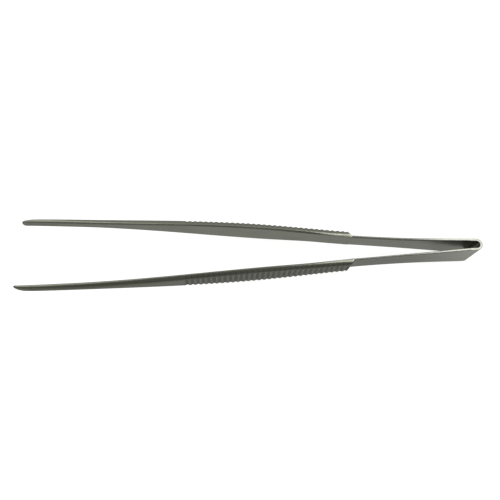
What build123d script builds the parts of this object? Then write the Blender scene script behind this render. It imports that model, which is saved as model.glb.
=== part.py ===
from build123d import *
import os
from math import asin, atan2, cos, degrees, hypot, radians, sin, tan

# Long straight planting tweezers, lying on their side.
# +X runs towards the butt, +Y is the way the upper arm opens, +Z is the way the strip is wide.
# The origin is below the middle of the length, level with the lowest edge.  Millimetres.

# ---- driving dimensions ----
overall_length = 250.0    # butt to tips
tip_gap = 35.4            # between the inner faces of the tips at rest
tip_rest_gap = 0.16       # left between the tips when fully squeezed

strip_thickness = 1.35    # spring strip
bow_inner_radius = 1.95   # bend at the butt
butt_width = 18.5         # widest place of the strip
butt_flat = 6.0           # length of the straight edges at the butt
leaf_mid_width = 13.1     # strip width half way along a leaf
waist_width = 11.2        # narrowest place, just behind the grip
leaf_splay = 2.6          # degrees, where a leaf leaves the bend
leaf_end_splay = 4.4      # degrees, where a leaf meets its arm

joint_distance = 70.2     # butt to the weld between leaf and arm
flex_distance = 29.0      # butt to the line that each leaf turns about
flex_clearance = 0.2      # gap across that line

arm_rear_thickness = 3.5  # top of the step
grip_thickness = 3.1      # middle of the grip
tip_thickness = 1.85      # tips, before the nose is rounded
grip_width = 14.8         # widest place of the grip
tip_width = 5.2           # along the last part of the shank
grip_centre = 122.5       # butt to the widest place of the grip
taper_start = 90.0        # butt to where the thickness begins to fall
shank_start = 219.0       # butt to where the width has come down to the tip's
arm_bow = 1.86            # how far an arm bows out from straight
side_draft = 12.0         # degrees, slope of the arm's sides
edge_break = 0.4          # broken corners along the inner face
crown_grip = 0.25         # how far the outer face swells in the middle of its width
crown_shank = 0.4
side_flat_rear = 2.0      # upright part of the side at the weld
side_flat_grip = 0.3      # and along the grip
side_flat_tip = 1.0       # and at the tip
side_flat_run = 23.0      # length over which it dies away in front of the weld
side_flat_rise = 85.0     # length over which it grows again towards the tip
step_ramp = 2.4           # length of the slope up from the leaf

groove_pitch = 2.89       # cross-cut grip grooves
groove_radius = 1.05
groove_depth = 0.4
groove_margin = 0.9       # from the top of the step to the first groove
grip_length = 90.0        # length that the grooves cover

jaw_groove_pitch = 0.9    # fine grooves inside the tips
jaw_groove_radius = 0.4
jaw_groove_depth = 0.14
jaw_length = 20.0
jaw_margin = 2.4          # smooth land at the very tip

nose_length = 8.5         # outer side rounds in over this length
nose_end_thickness = 0.6
tip_round = 1.9           # corners of the tip, seen on its inner face
section_spacing = 14.0    # between the cross-sections of an arm
cut_overrun = 1.0         # how far a cutter runs past the end of the metal

# ---- places that follow from them ----
butt_x = overall_length / 2
tip_x = -butt_x
mid_z = butt_width / 2
joint_x = butt_x - joint_distance
flex_x = butt_x - flex_distance
arm_length = overall_length - joint_distance
bend_radius = bow_inner_radius + strip_thickness / 2
bend_x = butt_x - bow_inner_radius - strip_thickness

splay = radians(leaf_splay)
end_splay = radians(leaf_end_splay)
leaf_start = (bend_x + bend_radius * sin(splay), bend_radius * cos(splay))
leaf_radius = (leaf_start[0] - joint_x) / (sin(end_splay) - sin(splay))
leaf_end_y = leaf_start[1] + leaf_radius * (cos(splay) - cos(end_splay))
joint_y = leaf_end_y - strip_thickness / 2 / cos(end_splay)


def ease(start, end, at):
    """0 before start and 1 after end, with a smooth change between."""
    u = min(max((at - start) / (end - start), 0.0), 1.0)
    return u * u * (3 - 2 * u)


def inner_y(distance):
    """Inner face of the upper arm, by distance from the butt."""
    u = (distance - joint_distance) / arm_length
    return joint_y + (tip_gap / 2 - joint_y) * u + 4 * arm_bow * u * (1 - u)


def arm_thickness(distance):
    u = max(1 - (distance - joint_distance) / (grip_centre - joint_distance), 0.0)
    v = max((distance - taper_start) / (overall_length - taper_start), 0.0)
    return grip_thickness + (arm_rear_thickness - grip_thickness) * u**2 - (grip_thickness - tip_thickness) * v**3


def arm_width(distance):
    rear = waist_width + (grip_width - waist_width) * ease(joint_distance, grip_centre, distance)
    return rear + (tip_width - grip_width) * ease(grip_centre, shank_start, distance)


def side_flat(distance):
    u = min((distance - joint_distance) / side_flat_run, 1.0)
    v = ease(overall_length - side_flat_rise, overall_length, distance)
    return side_flat_rear + (side_flat_grip - side_flat_rear) * u + (side_flat_tip - side_flat_grip) * v


def arm_crown(distance):
    return crown_grip + (crown_shank - crown_grip) * ease(grip_centre, shank_start, distance)


def outer_y(distance):
    """Corners of the outer face of the upper arm."""
    return inner_y(distance) + arm_thickness(distance)


os.makedirs("parts", exist_ok=True)

# the plane that widths are drawn on: X along the tweezers, Y across the strip
width_plane = Plane(origin=(0, 0, mid_z), x_dir=(1, 0, 0), z_dir=(0, -1, 0))

# ---- spring strip: one band of spring steel bent into a narrow U ----
with BuildPart() as strip:
    with BuildSketch(Plane.XY):
        with BuildLine():
            # each leaf runs past its weld here, and is cut off square there below
            leaf_turn = leaf_end_splay - leaf_splay + degrees(strip_thickness / leaf_radius)
            leaf = JernArc(leaf_start, (-cos(splay), sin(splay)), leaf_radius, -leaf_turn)
            mirror(leaf, about=Plane.XZ)
            ThreePointArc(leaf_start, (bend_x + bend_radius, 0), (leaf_start[0], -leaf_start[1]))
        trace(line_width=strip_thickness)
    extrude(amount=butt_width)
    with BuildSketch(width_plane):
        with BuildLine():
            rear = Line((butt_x, 0), (butt_x, butt_width / 2))
            flat = Line(rear @ 1, (butt_x - butt_flat, butt_width / 2))
            waist = (joint_x, waist_width / 2)
            side = ThreePointArc(flat @ 1, ((flat @ 1 + Vector(waist)).X / 2, leaf_mid_width / 2), waist)
            Line(side @ 1, (joint_x, 0))
            mirror(about=Plane.XZ)
        make_face()
    extrude(amount=tip_gap, both=True, mode=Mode.INTERSECT)


# ---- bow: the bend and the rear of both leaves ----
with BuildPart() as spring_bow:
    add(strip.part)
    split(bisect_by=Plane.YZ.offset(flex_x + flex_clearance / 2), keep=Keep.TOP)

# ---- leaves: the part of the strip in front of each flex line ----
with BuildPart() as upper_leaf:
    add(strip.part)
    split(bisect_by=Plane.YZ.offset(flex_x - flex_clearance / 2), keep=Keep.BOTTOM)
    split(bisect_by=Plane.XZ, keep=Keep.BOTTOM)

with BuildPart() as lower_leaf:
    mirror(upper_leaf.part, about=Plane.XZ)

# ---- arms: forged bars with sloping sides, stepped down to the leaf, slim at the tips ----
section_count = round(arm_length / section_spacing)
groove_count = int(grip_length / groove_pitch)
jaw_groove_count = int((jaw_length - jaw_margin) / jaw_groove_pitch)

with BuildPart() as upper_arm:
    for k in range(section_count + 1):
        distance = joint_distance + arm_length * k / section_count
        y, half_width = inner_y(distance), arm_width(distance) / 2
        height, flat = arm_thickness(distance), side_flat(distance)
        inset = (height - edge_break - flat) * tan(radians(side_draft))
        with BuildSketch(Plane(origin=(butt_x - distance, 0, mid_z), x_dir=(0, 0, 1), z_dir=(-1, 0, 0))):
            with BuildLine():
                half = Polyline(
                    (0, y),
                    (half_width - edge_break, y),
                    (half_width, y + edge_break),
                    (half_width, y + edge_break + flat),
                    (half_width - inset, y + height),
                )
                mirror(half, about=Plane.YZ)
                apex = (0, y + height + arm_crown(distance))
                ThreePointArc((half_width - inset, y + height), apex, (inset - half_width, y + height))
            make_face()
    loft()

    # the slope up from the leaf
    with BuildSketch(Plane.XY):
        foot = (joint_x, joint_y + strip_thickness / cos(end_splay))
        top = (joint_x - step_ramp, outer_y(joint_distance + step_ramp) + crown_grip)
        clear = (joint_x + cut_overrun, top[1] + cut_overrun)
        with BuildLine():
            Polyline(foot, top, (top[0], clear[1]), clear, (clear[0], foot[1]), close=True)
        make_face()
    extrude(amount=butt_width, mode=Mode.SUBTRACT)

    # the nose: the outer side rounds in to the tip
    nose_start = (tip_x + nose_length, outer_y(overall_length - nose_length) + crown_shank)
    nose_end = (tip_x, tip_gap / 2 + nose_end_thickness)
    nose_rise = outer_y(overall_length) - outer_y(overall_length - nose_length)
    clear = (tip_x - cut_overrun, nose_start[1] + cut_overrun)
    with BuildSketch(Plane.XY):
        with BuildLine():
            TangentArc(nose_start, nose_end, tangent=(-nose_length, nose_rise))
            Polyline(nose_end, (clear[0], nose_end[1]), clear, (nose_start[0], clear[1]), nose_start)
        make_face()
    extrude(amount=butt_width, mode=Mode.SUBTRACT)
    with BuildSketch(width_plane):
        with Locations((tip_x, 0)):
            Rectangle(2 * nose_length, tip_width, align=(Align.MIN, Align.CENTER))
        fillet(vertices().group_by(Axis.X)[0], tip_round)
        with Locations((tip_x + nose_length, 0)):
            Rectangle(arm_length, butt_width, align=(Align.MIN, Align.CENTER))
    extrude(amount=-tip_gap, mode=Mode.INTERSECT)

    # grooves across the grip, and finer ones across the inside of the tip
    with BuildSketch(Plane.XY):
        for k in range(groove_count):
            distance = joint_distance + step_ramp + groove_margin + k * groove_pitch
            with Locations((butt_x - distance, outer_y(distance) + groove_radius - groove_depth)):
                Circle(groove_radius)
        for k in range(jaw_groove_count):
            distance = overall_length - jaw_margin - k * jaw_groove_pitch
            with Locations((butt_x - distance, inner_y(distance) - jaw_groove_radius + jaw_groove_depth)):
                Circle(jaw_groove_radius)
    extrude(amount=butt_width, mode=Mode.SUBTRACT)

# ---- each arm is cut across where its grooves end, into a grip and a shank ----
shank_x = joint_x - step_ramp - groove_margin - grip_length

with BuildPart() as upper_grip:
    add(upper_arm.part)
    split(bisect_by=Plane.YZ.offset(shank_x), keep=Keep.TOP)

with BuildPart() as upper_shank:
    add(upper_arm.part)
    split(bisect_by=Plane.YZ.offset(shank_x), keep=Keep.BOTTOM)

with BuildPart() as lower_grip:
    mirror(upper_grip.part, about=Plane.XZ)

with BuildPart() as lower_shank:
    mirror(upper_shank.part, about=Plane.XZ)

spring_bow.part.label = "spring_bow"
upper_leaf.part.label = "upper_leaf"
lower_leaf.part.label = "lower_leaf"
upper_grip.part.label = "upper_grip"
upper_shank.part.label = "upper_shank"
lower_grip.part.label = "lower_grip"
lower_shank.part.label = "lower_shank"

export_step(spring_bow.part, "parts/spring_bow.step")
export_step(upper_leaf.part, "parts/upper_leaf.step")
export_step(lower_leaf.part, "parts/lower_leaf.step")
export_step(upper_grip.part, "parts/upper_grip.step")
export_step(upper_shank.part, "parts/upper_shank.step")
export_step(lower_grip.part, "parts/lower_grip.step")
export_step(lower_shank.part, "parts/lower_shank.step")

# ---- the line that each leaf turns about, and how far it turns until the tips all but meet ----
flex_angle = asin((leaf_start[0] - flex_x) / leaf_radius + sin(splay))
flex_y = leaf_start[1] + leaf_radius * (cos(splay) - cos(flex_angle))
reach = hypot(flex_x - tip_x, tip_gap / 2 - flex_y)
open_angle = atan2(tip_gap / 2 - flex_y, flex_x - tip_x)
closed_angle = asin((tip_rest_gap / 2 - flex_y) / reach)
print(f"flex lines at x {flex_x:.3f}, y +-{flex_y:.3f}, squeeze {degrees(open_angle - closed_angle):.3f} degrees")
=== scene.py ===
from math import asin, atan, cos, hypot, pi, radians, sin, sqrt, tan

import bmesh
import bpy
from mathutils import Matrix, Vector


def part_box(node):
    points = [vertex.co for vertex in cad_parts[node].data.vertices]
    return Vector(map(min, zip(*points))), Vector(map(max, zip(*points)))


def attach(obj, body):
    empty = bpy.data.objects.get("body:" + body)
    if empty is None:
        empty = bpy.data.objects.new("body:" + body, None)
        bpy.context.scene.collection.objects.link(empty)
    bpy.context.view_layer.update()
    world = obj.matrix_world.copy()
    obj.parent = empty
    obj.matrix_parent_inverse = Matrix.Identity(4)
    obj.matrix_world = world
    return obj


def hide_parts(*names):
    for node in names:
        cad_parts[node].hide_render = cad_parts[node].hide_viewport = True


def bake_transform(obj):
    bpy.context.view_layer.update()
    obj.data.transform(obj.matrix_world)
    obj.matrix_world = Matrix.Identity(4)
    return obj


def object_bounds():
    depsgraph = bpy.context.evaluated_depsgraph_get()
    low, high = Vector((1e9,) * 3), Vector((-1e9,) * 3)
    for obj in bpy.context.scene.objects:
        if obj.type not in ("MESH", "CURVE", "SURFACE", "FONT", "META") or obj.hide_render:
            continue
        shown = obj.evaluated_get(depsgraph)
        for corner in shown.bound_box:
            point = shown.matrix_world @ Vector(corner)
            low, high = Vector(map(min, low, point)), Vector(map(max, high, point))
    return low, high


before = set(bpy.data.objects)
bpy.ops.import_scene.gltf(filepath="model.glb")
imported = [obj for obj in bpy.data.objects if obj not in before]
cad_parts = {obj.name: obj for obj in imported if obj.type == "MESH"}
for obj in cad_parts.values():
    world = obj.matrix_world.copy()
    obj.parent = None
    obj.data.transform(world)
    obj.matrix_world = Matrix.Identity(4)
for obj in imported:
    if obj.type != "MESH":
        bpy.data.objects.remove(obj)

cad_low, cad_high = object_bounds()


# ---- Spring strip: the bend ----
# One band of stainless spring steel, blanked to a waisted outline and bent cold into a narrow U.
# The flat faces are brushed lengthwise; the edges are ground flat at the butt and rounded at the waist.

mm = 0.001
strip_thickness = 1.35 * mm
bow_inner_radius = 1.95 * mm
butt_flat = 6.0 * mm          # length of the straight edges at the butt
leaf_mid_width = 13.1 * mm
waist_width = 11.2 * mm
splay = radians(2.6)          # where a leaf leaves the bend
end_splay = radians(4.4)      # where a leaf meets its arm

butt_x, tip_x = cad_high.x, cad_low.x
mid_z = (cad_low.z + cad_high.z) / 2
butt_width = cad_high.z - cad_low.z
joint_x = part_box("upper_leaf")[0].x
bend_radius = bow_inner_radius + strip_thickness / 2
bend_x = butt_x - bow_inner_radius - strip_thickness
leaf_start_x = bend_x + bend_radius * sin(splay)
leaf_start_y = bend_radius * cos(splay)
leaf_radius = (leaf_start_x - joint_x) / (sin(end_splay) - sin(splay))

seam_x = butt_x - 7.5 * mm    # the strip is modelled in three lengths, which meet here
flat_edge_round = 0.14 * mm   # broken corners of the strip at the butt
waist_edge_round = 0.62 * mm  # nearly a full round at the waist
round_from, round_to = butt_x - 8 * mm, butt_x - 44 * mm
bend_shade_from, bend_shade_to = butt_x - 36 * mm, butt_x - 9 * mm   # painted shade: the inside gets darker towards the bend
corner_steps = 5              # points round each corner
bend_steps = 40               # rings round the bend
bend_spacing = 1.0 * mm       # between rings on the straight ends of the bend
leaf_spacing = 0.8 * mm       # and along the leaves
support = 0.22 * mm           # a row of points this far inside each flat keeps it flat when shaded smooth


def ease(start, end, at):
    """0 before start and 1 after end, with a smooth change between."""
    u = min(max((at - start) / (end - start), 0.0), 1.0)
    return u * u * (3 - 2 * u)


def leaf_line(x):
    """The upper leaf's mid-line at x: its y and the angle that it slopes at."""
    angle = asin((leaf_start_x - x) / leaf_radius + sin(splay))
    return leaf_start_y + leaf_radius * (cos(splay) - cos(angle)), angle


def arc_through(start, middle, end):
    """Centre and radius of the circle through three points."""
    (ax, ay), (bx, by), (cx, cy) = start, middle, end
    d = 2 * (ax * (by - cy) + bx * (cy - ay) + cx * (ay - by))
    a, b, c = ax * ax + ay * ay, bx * bx + by * by, cx * cx + cy * cy
    x = (a * (by - cy) + b * (cy - ay) + c * (ay - by)) / d
    y = (a * (cx - bx) + b * (ax - cx) + c * (bx - ax)) / d
    return x, y, hypot(ax - x, ay - y)


flat_end_x = butt_x - butt_flat
waist_arc = arc_through(
    (flat_end_x, butt_width / 2),
    ((flat_end_x + joint_x) / 2, leaf_mid_width / 2),
    (joint_x, waist_width / 2),
)


def strip_half_width(x):
    """Half the width of the strip's outline at x."""
    centre_x, centre_y, radius = waist_arc
    if x >= flat_end_x:
        return butt_width / 2
    return centre_y - sqrt(radius**2 - (x - centre_x) ** 2)


def corner(centre, radius, start):
    """Points of a quarter round, as (across, wide) pairs."""
    turns = [start + pi / 2 * k / (corner_steps - 1) for k in range(corner_steps)]
    return [(centre[0] + radius * cos(t), centre[1] + radius * sin(t)) for t in turns]


def strip_section(x):
    """The strip's cross-section at x, as (across, wide, rim): rim is 1 on a corner and 0 on a flat."""
    half, wide = strip_thickness / 2, strip_half_width(x)
    r = flat_edge_round + (waist_edge_round - flat_edge_round) * ease(round_from, round_to, x)
    inside = wide - r - support
    points = []
    for side in (1, -1):
        arc = corner((side * (half - r), side * (wide - r)), r, 0 if side > 0 else pi)
        arc += corner((-side * (half - r), side * (wide - r)), r, pi / 2 if side > 0 else -pi / 2)
        points += [(a, w, 1.0) for a, w in arc]
        points += [(-side * half, side * inside, 0.0), (-side * half, -side * inside, 0.0)]
    return points


def strip_ring(x, y, facing, along):
    """The cross-section set on the mid-line point (x, y), where the outer face looks along facing."""
    nx, ny = cos(facing), sin(facing)
    ring = []
    for across, wide, rim in strip_section(x):
        inside = across < -0.3 * strip_thickness
        # painted shade on the inside face, darker towards the bend
        bend_shade = ease(bend_shade_from, bend_shade_to, x) if inside else 0.0
        ring.append((Vector((x + across * nx, y + across * ny, mid_z + wide)),
                     {"rim": rim, "hollow": bend_shade, "grain": Vector((along, across, wide))}))
    return ring


def skin(name, rings):
    """A closed mesh over a row of rings with equal numbers of points, crisp only round its ends."""
    bm = bmesh.new()
    layers = {mark: bm.verts.layers.float.new(mark) for mark in ("rim", "hollow", "satin_and_shade")}
    layers["grain"] = bm.verts.layers.float_vector.new("grain")
    rows = []
    for ring in rings:
        row = []
        for place, marks in ring:
            vert = bm.verts.new(place)
            for mark, value in marks.items():
                vert[layers[mark]] = value
            row.append(vert)
        rows.append(row)
    count = len(rows[0])
    for back, front in zip(rows, rows[1:]):
        for k in range(count):
            bm.faces.new((back[k], back[(k + 1) % count], front[(k + 1) % count], front[k]))
    for face in bm.faces:
        face.smooth = True
    for row in (rows[0], rows[-1]):
        end = bm.faces.new(row)
        for edge in end.edges:
            edge.smooth = False
    bmesh.ops.recalc_face_normals(bm, faces=bm.faces[:])
    mesh = bpy.data.meshes.new(name)
    bm.to_mesh(mesh)
    bm.free()
    piece = bpy.data.objects.new(name, mesh)
    bpy.context.scene.collection.objects.link(piece)
    return piece


def mirrored(ring):
    """The same ring on the lower side."""
    return [(Vector((place.x, -place.y, place.z)), marks) for place, marks in ring]


def leaf_rings(start, end, step):
    """Rings of the upper leaf between two places, evenly spaced."""
    count = max(round(abs(end - start) / step), 1)
    rings = []
    for k in range(count + 1):
        x = start + (end - start) * k / count
        y, angle = leaf_line(x)
        rings.append(strip_ring(x, y, pi / 2 - angle, butt_x - x))
    return rings


bend_rings = []
for k in range(bend_steps + 1):
    facing = (pi / 2 - splay) * (1 - 2 * k / bend_steps)
    along = (butt_x - bend_x) - bend_radius * (pi / 2 - abs(facing))
    x, y = bend_x + bend_radius * cos(facing), bend_radius * sin(facing)
    bend_rings.append(strip_ring(x, y, facing, along))
leg = leaf_rings(seam_x, leaf_start_x, bend_spacing)[:-1]
spring_bend = skin("spring_bend", leg + bend_rings + [mirrored(ring) for ring in reversed(leg)])


def group(name, inputs, outputs):
    """An empty shader node group with these value inputs, and its outputs by name and kind of socket."""
    tree = bpy.data.node_groups.new(name, "ShaderNodeTree")
    for label, value in inputs.items():
        socket = tree.interface.new_socket(label, in_out="INPUT", socket_type="NodeSocketFloat")
        socket.default_value = value
    for label, kind in outputs.items():
        tree.interface.new_socket(label, in_out="OUTPUT", socket_type=kind)
    return tree, tree.nodes.new("NodeGroupInput"), tree.nodes.new("NodeGroupOutput")


def node(tree, kind, settings=None, **sockets):
    """Adds a node; each socket, by name or as i and its place, is set to a number or linked."""
    made = tree.nodes.new(kind)
    for key, value in (settings or {}).items():
        setattr(made, key, value)
    for key, value in sockets.items():
        socket = made.inputs[int(key[1:])] if key[1:].isdigit() else made.inputs[key.replace("_", " ")]
        if isinstance(value, bpy.types.NodeSocket):
            tree.links.new(value, socket)
        else:
            socket.default_value = value
    return made


def maths(tree, operation, a, b=0.5):
    return node(tree, "ShaderNodeMath", {"operation": operation}, i0=a, i1=b).outputs[0]


def remap(tree, value, low, high, to_low=0.0, to_high=1.0, curve="LINEAR"):
    return node(tree, "ShaderNodeMapRange", {"interpolation_type": curve}, Value=value, From_Min=low,
                From_Max=high, To_Min=to_low, To_Max=to_high).outputs[0]


def ease_map(tree, value, low, high, to_low=0.0, to_high=1.0):
    """The same with a smooth change between the two ends."""
    return remap(tree, value, low, high, to_low, to_high, "SMOOTHSTEP")


def painted(tree, mark, output="Fac"):
    """A value that the mesh carries at each point."""
    return node(tree, "ShaderNodeAttribute", {"attribute_name": mark}).outputs[output]


def noise(tree, vector, scale, detail=2.0, roughness=0.5):
    return node(tree, "ShaderNodeTexNoise", Vector=vector, Scale=scale, Detail=detail,
                Roughness=roughness).outputs[0]


# Brushing: long fine streaks that run along the steel, in the coordinates of the unbent bar.
brushing, given, result = group(
    "brushing",
    {"Fineness": 9000.0, "Length": 60.0},
    {"Streaks": "NodeSocketFloat", "Bands": "NodeSocketFloat"},
)
place = painted(brushing, "grain", "Vector")
stretch = node(brushing, "ShaderNodeCombineXYZ", X=given.outputs["Length"],
               Y=given.outputs["Fineness"], Z=given.outputs["Fineness"]).outputs[0]
fine = node(brushing, "ShaderNodeVectorMath", {"operation": "MULTIPLY"}, i0=place, i1=stretch).outputs[0]
band_stretch = (45.0, 1100.0, 1100.0)   # waves per metre: along the bar, then across it both ways
coarse = node(brushing, "ShaderNodeVectorMath", {"operation": "MULTIPLY"}, i0=place,
              i1=band_stretch).outputs[0]
streaks = noise(brushing, fine, 1.0, detail=3.0, roughness=0.6)
bands = noise(brushing, coarse, 1.0)
brushing.links.new(remap(brushing, streaks, 0.25, 0.75), result.inputs["Streaks"])
brushing.links.new(remap(brushing, bands, 0.3, 0.7), result.inputs["Bands"])

# Handling: faint cloudy smears from fingers and tank water, and the odd short scratch.
handling, given, result = group(
    "handling",
    {"Cloud Size": 70.0},
    {"Smears": "NodeSocketFloat", "Scratches": "NodeSocketFloat"},
)
place = painted(handling, "grain", "Vector")
smears = noise(handling, place, given.outputs["Cloud Size"], detail=4.0, roughness=0.55)
turned = node(handling, "ShaderNodeMapping", Vector=place, Rotation=(0.3, 1.1, 0.5),
              Scale=(260.0, 5200.0, 1500.0)).outputs[0]
cells = node(handling, "ShaderNodeTexVoronoi", {"feature": "DISTANCE_TO_EDGE"}, Vector=turned,
             Scale=0.35).outputs[0]
patches = remap(handling, noise(handling, place, 160.0), 0.56, 0.66)
lines = remap(handling, cells, 0.0, 0.03, 1.0, 0.0)
handling.links.new(remap(handling, smears, 0.35, 0.7), result.inputs["Smears"])
handling.links.new(maths(handling, "MULTIPLY", lines, patches), result.inputs["Scratches"])

# Edge polish and painted highlight: the corners that buffing and use have brightened, and the crease
# along each arm's side, painted bright as a highlight line; broken up a little along their length.
edge_polish_and_highlight, given, result = group("edge_polish_and_highlight", {"Spread": 0.35}, {"Mask": "NodeSocketFloat"})
rim = painted(edge_polish_and_highlight, "rim")
place = painted(edge_polish_and_highlight, "grain", "Vector")
uneven = remap(edge_polish_and_highlight, noise(edge_polish_and_highlight, place, 420.0, detail=3.0), 0.3, 0.7, 0.65, 1.0)
spread = ease_map(edge_polish_and_highlight, rim, given.outputs["Spread"], 1.0)
edge_polish_and_highlight.links.new(maths(edge_polish_and_highlight, "MULTIPLY", spread, uneven), result.inputs["Mask"])

# Groove shade: the bottoms of the cross grooves, and the inside of the bend, are painted darker as shade;
# on the arms the grooves are also left rougher.
groove_shade, given, result = group("groove_shade", {"Start": 0.25}, {"Mask": "NodeSocketFloat"})
sunk = painted(groove_shade, "hollow")
place = painted(groove_shade, "grain", "Vector")
patchy = remap(groove_shade, noise(groove_shade, place, 700.0, detail=3.0), 0.3, 0.7, 0.7, 1.0)
deep = ease_map(groove_shade, sunk, given.outputs["Start"], 1.0)
groove_shade.links.new(maths(groove_shade, "MULTIPLY", deep, patchy), result.inputs["Mask"])


def use(tree, shared, **values):
    """Places a shared group in a material with its own values."""
    made = tree.nodes.new("ShaderNodeGroup")
    made.node_tree = shared
    for key, value in values.items():
        made.inputs[key.replace("_", " ")].default_value = value
    return made.outputs


def blend_colour(tree, amount, first, second):
    """first where amount is 0 and second where it is 1."""
    mixed = node(tree, "ShaderNodeMix", {"data_type": "RGBA"}, i0=amount, i6=first, i7=second)
    return mixed.outputs[2]


def steel(name, tone, polished_and_highlight_tone, roughness, streak_depth):
    """Brushed stainless steel: the material, its tree and shader, and its colour and roughness so far."""
    made = bpy.data.materials.new(name)
    made.use_nodes = True
    tree = made.node_tree
    shader = tree.nodes["Principled BSDF"]
    shader.inputs["Metallic"].default_value = 1.0
    grain = use(tree, brushing)
    wear = use(tree, handling)
    # worn corners polished bright, and a painted highlight along the arms' side creases
    polish_and_highlight = use(tree, edge_polish_and_highlight)["Mask"]
    darkest = 0.72   # of the plain tone, at the bottom of the brushing
    darker = tuple(darkest * c for c in tone[:3]) + (1.0,)
    colour = blend_colour(tree, remap(tree, grain["Streaks"], 0.0, 1.0, 0.5, 0.0), tone, darker)
    colour = blend_colour(tree, remap(tree, grain["Bands"], 0.0, 1.0, 0.6, 0.0), colour, darker)
    colour = blend_colour(tree, maths(tree, "MULTIPLY", polish_and_highlight, 0.8), colour, polished_and_highlight_tone)
    rough = remap(tree, grain["Streaks"], 0.0, 1.0, roughness - 0.05, roughness + 0.06)
    rough = maths(tree, "ADD", rough, remap(tree, wear["Smears"], 0.0, 1.0, -0.02, 0.05))
    rough = maths(tree, "SUBTRACT", rough, maths(tree, "MULTIPLY", polish_and_highlight, 0.08))
    height = maths(tree, "SUBTRACT", grain["Streaks"], maths(tree, "MULTIPLY", wear["Scratches"], 0.6))
    bump = node(tree, "ShaderNodeBump", Height=height, Strength=0.35, Distance=streak_depth)
    tree.links.new(bump.outputs[0], shader.inputs["Normal"])
    return made, tree, shader, colour, rough


spring_steel, tree, shader, colour, rough = steel(
    "brushed_spring_steel", (0.412, 0.420, 0.352, 1), (0.50, 0.505, 0.45, 1), 0.20, 0.008 * mm)
# painted shade: the inside of the strip is darkened towards the bend
sunk = use(tree, groove_shade, Start=0.0)["Mask"]
colour = blend_colour(tree, maths(tree, "MULTIPLY", sunk, 0.3), colour, (0.12, 0.12, 0.10, 1))
tree.links.new(colour, shader.inputs["Base Color"])
tree.links.new(rough, shader.inputs["Roughness"])

spring_bend.data.materials.append(spring_steel)
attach(spring_bend, "bow")
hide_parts("spring_bow")


# ---- Spring strip: the leaves ----
# The two legs of the same band, which bow apart slightly and on the real tweezers flex when the grips are
# squeezed.
# They run from the bend to the square-cut ends that are welded to the arms.

for name, turn, body in (("upper_leaf_strip", list, "upper"), ("lower_leaf_strip", mirrored, "lower")):
    leaf = skin(name, [turn(ring) for ring in leaf_rings(seam_x, joint_x, leaf_spacing)])
    leaf.data.materials.append(spring_steel)
    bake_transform(leaf)
    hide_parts(body + "_leaf")


# ---- Arms: grip, shank and tip ----
# Each is one drop-forged stainless bar, milled with round cross grooves on the outside of the grip,
# ground to a slim tip with fine grooves inside it, satin finished, and welded on at the step.

tip_gap = 35.4 * mm             # between the inner faces of the tips at rest
arm_rear_thickness = 3.5 * mm   # top of the step
grip_thickness = 3.1 * mm
tip_thickness = 1.85 * mm
grip_width = 14.8 * mm
tip_width = 5.2 * mm
grip_centre = 122.5 * mm        # butt to the widest place of the grip
taper_start = 90.0 * mm         # butt to where the thickness begins to fall
shank_start = 219.0 * mm        # butt to where the width has come down to the tip's
arm_bow = 1.86 * mm             # how far an arm bows out from straight
side_draft = radians(12)        # slope of the arm's sides
inner_round_rear = 0.06 * mm    # corners along the inner face: crisp at the weld,
inner_round_grip = 0.85 * mm    # broadest behind the middle of the grip,
inner_round_shank = 0.55 * mm   # and less again in front of it
outer_round_grip = 0.5 * mm     # corners of the outer face
outer_round_shank = 0.6 * mm
crown_grip = 0.25 * mm          # how far the outer face swells in the middle of its width
crown_shank = 0.4 * mm
side_flat_rear = 2.0 * mm       # upright part of the side, at the weld, along the grip and at the tip
side_flat_grip = 0.3 * mm
side_flat_tip = 1.0 * mm
side_flat_run = 23.0 * mm       # length over which it dies away in front of the weld
side_flat_rise = 85.0 * mm      # length over which it grows again towards the tip
step_ramp = 2.4 * mm            # length of the slope up from the leaf
groove_pitch = 2.89 * mm
groove_radius = 1.05 * mm
groove_depth = 0.4 * mm
groove_margin = 0.9 * mm        # from the top of the step to the first groove
grip_length = 90.0 * mm         # length that the grooves cover
jaw_groove_pitch = 0.9 * mm
jaw_groove_radius = 0.4 * mm
jaw_groove_depth = 0.14 * mm
jaw_length = 20.0 * mm
jaw_margin = 2.4 * mm           # smooth land at the very tip
nose_length = 8.5 * mm          # the outer side rounds in over this length
nose_end_thickness = 0.6 * mm
tip_round = 1.9 * mm            # corners of the tip, seen on its inner face
end_round = 0.2 * mm            # edges of the very tip
crest_softening = 0.1 * mm      # how far buffing has rounded the crests between grooves
crease_gap = 0.06 * mm          # rows of points this far each side of the crease in the arm's side
ramp_steps = 12                 # rings over the ramp, along the shank and round the nose
shank_steps = 36
nose_steps = 20
jaw_groove_steps = 9            # rings to each of the fine grooves inside the tips, an odd number
inner_polish = 0.2              # how bright buffing has left the inner corners,
outer_polish = 0.6              # the outer corners,
crease_highlight_grip = 0.85       # and, as a painted highlight line, the crease between the side's upright and sloping parts
crease_highlight_shank = 0.45
beside_crease_highlight = 0.1
satin_and_shade_grip, satin_and_shade_shank = 0.75, 1.0   # how fully the outer face has its rougher satin finish and its darker colour, which is painted shade

overall_length = butt_x - tip_x
joint_distance = butt_x - joint_x
arm_length = overall_length - joint_distance
joint_y, joint_angle = leaf_line(joint_x)
joint_y -= strip_thickness / 2 / cos(joint_angle)
crisp_until = joint_distance + 8 * mm
broad_at = joint_distance + 25 * mm
first_groove = joint_distance + step_ramp + groove_margin
first_jaw_groove = overall_length - jaw_margin
groove_count = int(grip_length / groove_pitch)
jaw_groove_count = int((jaw_length - jaw_margin) / jaw_groove_pitch)


def soft_max(a, b, softening):
    """The larger of two values, rounded where they cross."""
    return (a + b + sqrt((a - b) ** 2 + softening**2)) / 2


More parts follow.
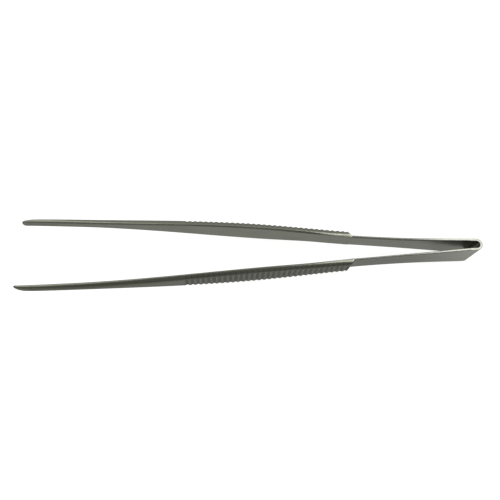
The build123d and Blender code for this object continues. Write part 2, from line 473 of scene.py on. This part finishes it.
def round_cut(offset, radius, depth, softening):
    """Depth of a round groove at an offset from its middle."""
    if abs(offset) >= radius:
        return 0.0
    edge = soft_max(depth - radius, 0.0, softening)
    return soft_max(sqrt(radius**2 - offset**2) - radius + depth, 0.0, softening) - edge


def nearest(at, first, pitch, count):
    """Distance from at to the middle of the nearest of a row of grooves."""
    k = min(max(round((at - first) / pitch), 0), count - 1)
    return at - first - k * pitch


def arm_measures(distance):
    """Inner face, height over it, crown, half width, side flat, depth in a groove outside and inside."""
    u = (distance - joint_distance) / arm_length
    inner = joint_y + (tip_gap / 2 - joint_y) * u + 4 * arm_bow * u * (1 - u)
    rear = max(1 - (distance - joint_distance) / (grip_centre - joint_distance), 0.0)
    fore = max((distance - taper_start) / (overall_length - taper_start), 0.0)
    height = grip_thickness + (arm_rear_thickness - grip_thickness) * rear**2
    height -= (grip_thickness - tip_thickness) * fore**3
    width = waist_width + (grip_width - waist_width) * ease(joint_distance, grip_centre, distance)
    width += (tip_width - grip_width) * ease(grip_centre, shank_start, distance)
    flat = side_flat_rear + (side_flat_grip - side_flat_rear) * min(u * arm_length / side_flat_run, 1.0)
    tipward = ease(overall_length - side_flat_rise, overall_length, distance)
    flat += (side_flat_tip - side_flat_grip) * tipward
    crown = crown_grip + (crown_shank - crown_grip) * ease(grip_centre, shank_start, distance)
    half_width = width / 2

    # straight cuts across the outer face: the ramp at the weld, the grooves, and the nose
    foot = strip_thickness / cos(end_splay)
    ramp = foot + (arm_rear_thickness + crown_grip - foot) * (distance - joint_distance) / step_ramp
    offset = nearest(distance, first_groove, groove_pitch, groove_count)
    groove = height + groove_radius - groove_depth
    groove -= sqrt(max(groove_radius**2 - offset**2, 0.0))
    into_nose = max(distance - (overall_length - nose_length), 0.0)
    drop = tip_thickness + crown_shank - nose_end_thickness
    nose_radius = (nose_length**2 + drop**2) / (2 * drop)
    nose = tip_thickness + crown_shank - nose_radius + sqrt(nose_radius**2 - into_nose**2)
    if into_nose == 0:
        nose = height + crown_shank + crest_softening
    cut = min(ramp, groove, nose)
    sunk = min(max((height - cut) / groove_depth, 0.0), 1.0) if groove == cut else 0.0
    height = -soft_max(-height, -cut, crest_softening)
    crown = min(crown, max(cut - height, 0.0))

    from_tip = overall_length - distance
    if from_tip < tip_round:
        half_width -= tip_round - sqrt(tip_round**2 - (tip_round - from_tip) ** 2)
    jaw = round_cut(nearest(distance, first_jaw_groove, -jaw_groove_pitch, jaw_groove_count),
                    jaw_groove_radius, jaw_groove_depth, crest_softening / 2)
    return inner, height, crown, half_width, flat, sunk, jaw


def arm_ring(distance):
    """One cross-section of the upper arm, square to the tweezers' length."""
    inner, height, crown, half, flat, hollow, jaw = arm_measures(distance)
    from_tip = overall_length - distance
    shrink = end_round - sqrt(end_round**2 - (end_round - from_tip) ** 2) if from_tip < end_round else 0.0
    half -= shrink
    height -= shrink
    slim = ease(grip_centre, shank_start, distance)
    broad, narrow = ease(crisp_until, broad_at, distance), ease(broad_at, grip_centre, distance)
    low_round = inner_round_rear + (inner_round_grip - inner_round_rear) * broad
    low_round += (inner_round_shank - inner_round_grip) * narrow
    # no round takes more than its share of a slim section
    low_round = min(low_round, 0.4 * height, 0.4 * half)
    high_round = outer_round_grip + (outer_round_shank - outer_round_grip) * slim
    high_round = min(high_round, 0.4 * (height - low_round), 0.5 * half)
    flat = min(flat, height - low_round - 1.2 * high_round)
    crease = (half, low_round + flat)
    beside = min(0.3 * flat, crease_gap)

    # the round between the sloping side and the crowned outer face touches both
    lean = atan(2 * crown / half)
    side_normal, face_normal = (cos(side_draft), sin(side_draft)), (sin(lean), cos(lean))
    cross = side_normal[0] * face_normal[1] - side_normal[1] * face_normal[0]
    meet = (half - (height - crease[1]) * tan(side_draft), height)
    centre = (meet[0] - high_round * (face_normal[1] - side_normal[1]) / cross,
              meet[1] - high_round * (side_normal[0] - face_normal[0]) / cross)

    # each point is its place across and up, its rim, and on the outside how far it is down a groove
    points = [(0.0, 0.0, 0.0, None), (max(half - low_round - support, 0.3 * half), 0.0, 0.0, None)]
    for k in range(corner_steps):
        turn = -pi / 2 + pi / 2 * k / (corner_steps - 1)
        place = (half - low_round + low_round * cos(turn), low_round + low_round * sin(turn))
        points.append((place[0], place[1], inner_polish, None))
    # a painted highlight along the crease in the side
    crease_highlight = crease_highlight_grip + (crease_highlight_shank - crease_highlight_grip) * slim
    points.append((half, crease[1] - beside, crease_highlight, None))
    above = (half - sin(side_draft) * beside, crease[1] + cos(side_draft) * beside)
    points.append((above[0], above[1], beside_crease_highlight, None))
    for k in range(corner_steps):
        turn = side_draft + (pi / 2 - lean - side_draft) * k / (corner_steps - 1)
        place = (centre[0] + high_round * cos(turn), centre[1] + high_round * sin(turn))
        points.append((place[0], place[1], outer_polish, hollow))
    rise = tan(lean) * place[0] / 2
    for share in (0.9, 0.6, 0.3, 0.0):
        points.append((place[0] * share, place[1] + rise * (1 - share**2), 0.0, hollow))

    ring = []
    for side_of, row in ((1, points), (-1, points[-2:0:-1])):
        for wide, up, rim, sunk in row:
            up = max(up, jaw)
            marks = {"rim": rim, "grain": Vector((distance, up, side_of * wide))}
            if sunk is not None:
                marks["hollow"] = sunk
                # the outer face: rougher satin finish, and painted shade darkening its colour
                marks["satin_and_shade"] = satin_and_shade_grip + (satin_and_shade_shank - satin_and_shade_grip) * slim
            ring.append((Vector((butt_x - distance, inner + shrink + up, mid_z + side_of * wide)), marks))
    return ring


def stations():
    """Where the arm's cross-sections stand: close together over the ramp, the grooves and the nose."""
    past_ramp = 1.3 * step_ramp
    places = {joint_distance + past_ramp * k / ramp_steps for k in range(ramp_steps + 1)}
    from_middle = (0.0, 0.2, 0.4, 0.56, 0.68, 0.76, 0.84, 0.93, 1.05, 1.4)   # mm, closest at the crest
    for k in range(groove_count):
        middle = first_groove + k * groove_pitch
        places |= {middle + side * offset * mm for offset in from_middle for side in (-1, 1)}
    shank_from = first_groove + groove_count * groove_pitch
    jaws_from = first_jaw_groove - (jaw_groove_count - 0.5) * jaw_groove_pitch
    places |= {shank_from + (jaws_from - shank_from) * k / shank_steps for k in range(shank_steps + 1)}
    jaw_spacing, each_side = jaw_groove_pitch / jaw_groove_steps, jaw_groove_steps // 2
    for k in range(jaw_groove_count):
        middle = first_jaw_groove - k * jaw_groove_pitch
        places |= {middle + jaw_spacing * j for j in range(-each_side, each_side + 1)}
    nose_from = first_jaw_groove + jaw_groove_pitch / 2
    nose_run = overall_length - nose_from
    places |= {nose_from + nose_run * sin(pi / 2 * k / nose_steps) for k in range(nose_steps + 1)}
    hair, closest = 1e-9, 0.01 * mm   # slack for rounding, and the least gap between two sections
    ordered = []
    for at in sorted(places):
        inside = joint_distance - hair <= at <= overall_length + hair
        if inside and (not ordered or at - ordered[-1] > closest):
            ordered.append(at)
    ordered[-1] = overall_length
    return ordered


# the second tone brightens polished corners and paints the highlight along the side creases
arm_steel, tree, shader, colour, rough = steel(
    "satin_forged_steel", (0.385, 0.400, 0.322, 1), (0.58, 0.59, 0.52, 1), 0.20, 0.010 * mm)
# painted shade: the outer face's colour is darkened; its rougher satin finish is real
satin_and_shade = painted(tree, "satin_and_shade")
colour = blend_colour(tree, maths(tree, "MULTIPLY", satin_and_shade, 0.9), colour, (0.238, 0.245, 0.190, 1))
rough = maths(tree, "ADD", rough, maths(tree, "MULTIPLY", satin_and_shade, 0.07))
# painted shade: the bottoms of the cross grooves are darkened, and also made rougher
sunk = use(tree, groove_shade, Start=0.05)["Mask"]
colour = blend_colour(tree, maths(tree, "MULTIPLY", sunk, 0.8), colour, (0.11, 0.11, 0.095, 1))
rough = maths(tree, "ADD", rough, maths(tree, "MULTIPLY", sunk, 0.12))
tree.links.new(colour, shader.inputs["Base Color"])
tree.links.new(rough, shader.inputs["Roughness"])

rings = [arm_ring(distance) for distance in stations()]
for name, turn, body in (("upper_arm_bar", list, "upper"), ("lower_arm_bar", mirrored, "lower")):
    arm = skin(name, [turn(ring) for ring in rings])
    arm.data.materials.append(arm_steel)
    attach(arm, body)
    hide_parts(body + "_grip", body + "_shank")


# ---- Floor, light and camera ----
# The tweezers lie on a white sheet that is lit through from below, so that no shadow shows.
# Two small softboxes overhead make the bright edges, and a graded grey room gives the steel its tones.

sheet_reach = 3.0             # metres, from the middle to each side
bm = bmesh.new()
bmesh.ops.create_grid(bm, x_segments=1, y_segments=1, size=sheet_reach)
mesh = bpy.data.meshes.new("floor")
bm.to_mesh(mesh)
bm.free()
floor_sheet = bpy.data.objects.new("floor", mesh)
bpy.context.scene.collection.objects.link(floor_sheet)
paper = bpy.data.materials.new("white_paper")
paper.use_nodes = True
paper_shader = paper.node_tree.nodes["Principled BSDF"]
paper_shader.inputs["Base Color"].default_value = (0.30, 0.30, 0.298, 1)
paper_shader.inputs["Roughness"].default_value = 0.9
paper_shader.inputs["Emission Color"].default_value = (1.0, 1.0, 0.995, 1)
paper_shader.inputs["Emission Strength"].default_value = 0.84
floor_sheet.data.materials.append(paper)
floor_sheet.visible_glossy = False   # the steel sees the grey of the room below instead


def softbox(name, place, aim, size, power):
    data = bpy.data.lights.new(name, "AREA")
    data.shape = "RECTANGLE"
    data.size, data.size_y = size
    data.energy = power
    lamp = bpy.data.objects.new(name, data)
    lamp.location = place
    lamp.visible_camera = False
    lamp.rotation_euler = (Vector(aim) - Vector(place)).to_track_quat("-Z", "Y").to_euler()
    bpy.context.scene.collection.objects.link(lamp)


softbox("right_softbox", (0.44, 0.27, 0.75), (0.1, 0, mid_z), (0.36, 0.30), 0.58)
softbox("left_softbox", (-0.46, 0.42, 0.72), (-0.1, 0, mid_z), (0.35, 0.35), 0.3)

# The room as the steel sees it: dim overhead, lighter behind, below and ahead. All else sees it white.
world = bpy.data.worlds.new("studio")
bpy.context.scene.world = world
world.use_nodes = True
tree = world.node_tree
direction = node(tree, "ShaderNodeTexCoord").outputs["Generated"]
parts = node(tree, "ShaderNodeSeparateXYZ", Vector=direction).outputs
behind = ease_map(tree, parts["Y"], 0.05, 0.5, 0.15, 0.47)
not_down = ease_map(tree, parts["Z"], -0.9, -0.45)
behind = maths(tree, "MULTIPLY", behind, not_down)
below = ease_map(tree, parts["Z"], -0.3, -1.05, 0.0, 0.50)
to_right = ease_map(tree, parts["X"], 0.36, 0.62, 1.0, 3.1)
straight_down = ease_map(tree, parts["Y"], -0.36, -0.18, 1.0, 0.5)
below = maths(tree, "MULTIPLY", maths(tree, "MULTIPLY", below, to_right), straight_down)
in_front = ease_map(tree, parts["Y"], -0.35, -0.75, 0.0, 0.40)
level = ease_map(tree, maths(tree, "ABSOLUTE", parts["Z"]), 0.62, 0.38)
ahead = maths(tree, "MULTIPLY", in_front, level)
light = maths(tree, "MAXIMUM", maths(tree, "MAXIMUM", behind, below), ahead)
room = node(tree, "ShaderNodeBackground", Color=light)
paper_light = node(tree, "ShaderNodeBackground", Color=(1.0, 1.0, 1.0, 1))
rays = node(tree, "ShaderNodeLightPath").outputs
pick = node(tree, "ShaderNodeMixShader", i0=rays["Is Glossy Ray"], i1=paper_light.outputs[0],
            i2=room.outputs[0])
tree.links.new(pick.outputs[0], tree.nodes["World Output"].inputs[0])

lens = bpy.data.cameras.new("camera")
lens.sensor_width = 36.0
lens.lens = 35.756
lens.clip_start = 0.01
camera = bpy.data.objects.new("camera", lens)
aim = Matrix.Rotation(radians(20.153), 4, "X") @ Matrix.Rotation(radians(-2.989), 4, "Y")
aim = aim @ Matrix.Rotation(radians(-0.580), 4, "Z")
camera.matrix_world = Matrix.Translation((-0.01532, -0.09230, 0.26451)) @ aim
bpy.context.scene.collection.objects.link(camera)
bpy.context.scene.camera = camera
bpy.context.scene.view_settings.view_transform = "Standard"
